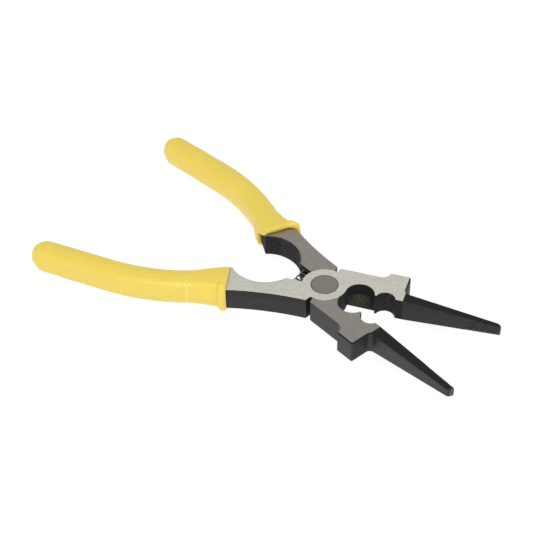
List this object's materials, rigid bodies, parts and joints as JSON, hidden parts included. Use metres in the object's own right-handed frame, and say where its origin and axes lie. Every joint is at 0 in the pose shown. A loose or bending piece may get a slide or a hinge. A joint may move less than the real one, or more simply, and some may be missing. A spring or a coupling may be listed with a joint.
{
  "type": "spring-loaded welding pliers",
  "caption": "Long-nose welder's pliers: two crossed forged levers on a flush rivet, a coil spring that opens them, a cutter, hammer blocks, round grips and soft handle sleeves.",
  "frame": {"origin": "where the rivet's axis leaves the flat lower face of the joint", "axes": "+X between the open jaws towards their tips, +Y towards the jaw of the upper lever, +Z along the rivet's axis from the lower joint face to the upper one"},
  "size_m": [0.1952, 0.106, 0.0159],
  "materials": {
    "upper_lever_steel": "black oxide on the sides, ground bright on both flat faces",
    "lower_lever_steel": "black oxide on the sides, ground on both flat faces",
    "rivet_steel": "spun flush and ground",
    "spring_steel": "blackened and oiled music wire, glossy",
    "sleeve_plastic": "satin moulded soft vinyl with a diamond pattern on the outer side"
  },
  "bodies": {
    "lower_half": {"lower_lever": "lower_lever_steel", "lower_grip": "sleeve_plastic", "pivot_rivet": "rivet_steel", "return_spring": "spring_steel"},
    "upper_half": {"upper_lever": "upper_lever_steel", "upper_grip": "sleeve_plastic"}
  },
  "joints": [
    {"name": "squeeze", "type": "hinge", "parent": "lower_half", "child": "upper_half", "pos_m": [0, 0, 0], "axis": [0, 0, -1], "range_deg": [-7, 30.5], "stiffness_Nm_per_rad": 0.9, "deforming": ["return_spring"]}
  ]
}
